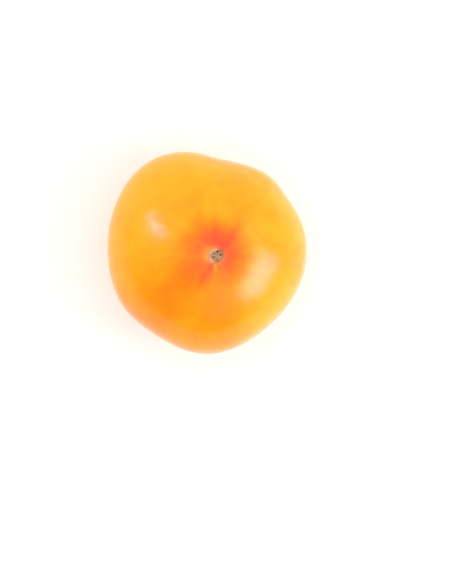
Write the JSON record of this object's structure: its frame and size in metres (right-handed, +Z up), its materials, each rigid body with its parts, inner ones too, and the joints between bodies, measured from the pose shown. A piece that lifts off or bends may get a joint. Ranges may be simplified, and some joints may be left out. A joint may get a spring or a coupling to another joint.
{
  "type": "tomato",
  "caption": "Whole ripe two-colour slicing tomato, broad and lobed, blossom end up with a small corky scar, resting on the shoulders round its stem hollow.",
  "frame": {"origin": "on the resting plane, under the middle of the fruit's box", "axes": "+Z up through the blossom end, the fruit's shortest extent; +X and +Y across it"},
  "size_m": [0.081, 0.082, 0.062],
  "materials": {
    "tomato_skin": "waxy semi-gloss fruit skin, golden yellow to orange with a red blush round the blossom scar"
  },
  "bodies": {
    "root": {"tomato": "tomato_skin"}
  },
  "joints": []
}
